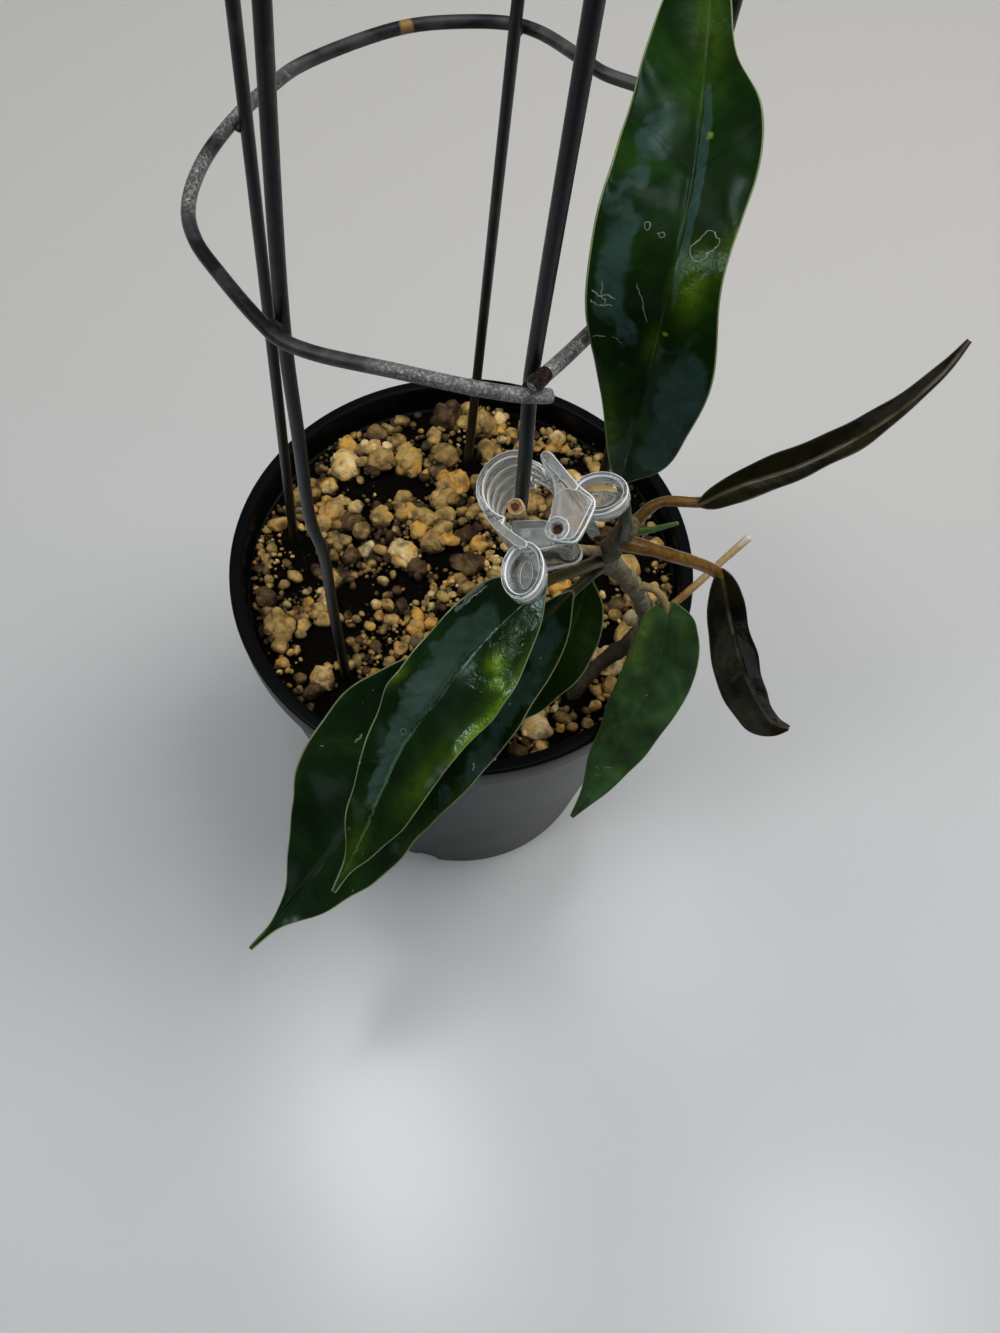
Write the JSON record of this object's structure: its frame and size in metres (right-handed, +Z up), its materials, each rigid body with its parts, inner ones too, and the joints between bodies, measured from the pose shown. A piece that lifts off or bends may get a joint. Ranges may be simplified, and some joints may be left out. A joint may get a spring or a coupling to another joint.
{
  "type": "potted hoya plant",
  "caption": "Young hoya with long dark glossy leaves in a black nursery pot of gritty mix, with a wire support cage and a clear sprung clip.",
  "frame": {"origin": "centre of the underside of the pot, on the surface that it stands on", "axes": "+Z up along the pot axis and the wires; -Y is the side over which the two long leaves hang"},
  "size_m": [0.1502, 0.1619, 0.366],
  "materials": {
    "pot_plastic": "satin",
    "potting_mix": "matte",
    "cage_wire": "satin",
    "bark": "matte",
    "leaf": "gloss",
    "young_leaf": "gloss",
    "dry_stalk": "matte",
    "sprout": "satin",
    "clip_plastic": "gloss",
    "steel": "satin"
  },
  "bodies": {
    "potted_plant": {"pot": "pot_plastic", "potting_mix": "potting_mix", "upright_left_front": "cage_wire", "upright_left_back": "cage_wire", "upright_back": "cage_wire", "upright_right": "cage_wire", "upright_right_front": "cage_wire", "hoop_lower": "cage_wire", "hoop_upper": "cage_wire", "main_stem": "bark", "leaf_upright": "leaf", "leaf_front_upper": "leaf", "leaf_front_lower": "leaf", "leaf_small_behind": "leaf", "leaf_hanging": "leaf", "leaf_young_long": "young_leaf", "leaf_young_short": "young_leaf", "spent_flower_stalk": "dry_stalk", "dry_stick": "dry_stalk", "sprout": "sprout", "clip_jaw_fixed": "clip_plastic", "clip_pin": "steel", "clip_spring": "steel"},
    "clip_moving_jaw": {"clip_jaw_moving": "clip_plastic"}
  },
  "joints": [
    {"name": "clip_hinge", "type": "hinge", "parent": "potted_plant", "child": "clip_moving_jaw", "pos_m": [0.01918, -0.05152, 0.21598], "axis": [-0.2249, -0.2789, 0.9336], "range_deg": [0, 30], "stiffness_Nm_per_rad": 0.01, "springref_deg": -34.38}
  ]
}
